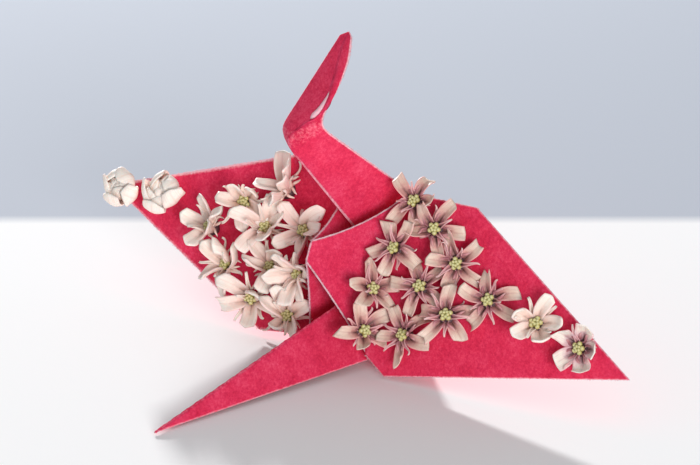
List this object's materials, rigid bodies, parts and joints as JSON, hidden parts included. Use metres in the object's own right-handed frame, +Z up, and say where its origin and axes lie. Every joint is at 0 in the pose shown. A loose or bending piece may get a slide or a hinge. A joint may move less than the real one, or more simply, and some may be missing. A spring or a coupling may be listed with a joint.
{
  "type": "paper crane",
  "caption": "Crane folded from one square of crimson paper, lying tipped back on its tail and one wing, with small five-petalled blossoms glued over the wings",
  "frame": {"origin": "on the table, under the middle of the whole crane's bounding box", "axes": "+Z is up off the table; +X runs from the far wing's tip and the tail towards the near wing's tip; +Y runs away from the near wing towards the far wing; millimetres in the source"},
  "size_m": [0.1132, 0.0922, 0.074],
  "materials": {
    "crimson_paper": "matte",
    "pink_petal": "matte",
    "pale_petal": "matte"
  },
  "bodies": {
    "root": {"folded_sheet": "crimson_paper", "near_wing_blossom_01": "pink_petal", "near_wing_blossom_02": "pink_petal", "near_wing_blossom_03": "pink_petal", "near_wing_blossom_04": "pink_petal", "near_wing_blossom_05": "pink_petal", "near_wing_blossom_06": "pink_petal", "near_wing_blossom_07": "pink_petal", "near_wing_blossom_08": "pink_petal", "near_wing_blossom_09": "pale_petal", "near_wing_blossom_10": "pink_petal", "hump_blossom_01": "pink_petal", "hump_blossom_02": "pink_petal", "far_wing_blossom_01": "pale_petal", "far_wing_blossom_02": "pale_petal", "far_wing_blossom_03": "pale_petal", "far_wing_blossom_04": "pale_petal", "far_wing_blossom_05": "pale_petal", "far_wing_blossom_06": "pale_petal", "far_wing_blossom_07": "pale_petal", "far_wing_blossom_08": "pale_petal", "far_wing_blossom_09": "pale_petal", "far_wing_blossom_10": "pale_petal", "far_wing_blossom_11": "pale_petal", "far_wing_blossom_12": "pale_petal"}
  },
  "joints": []
}
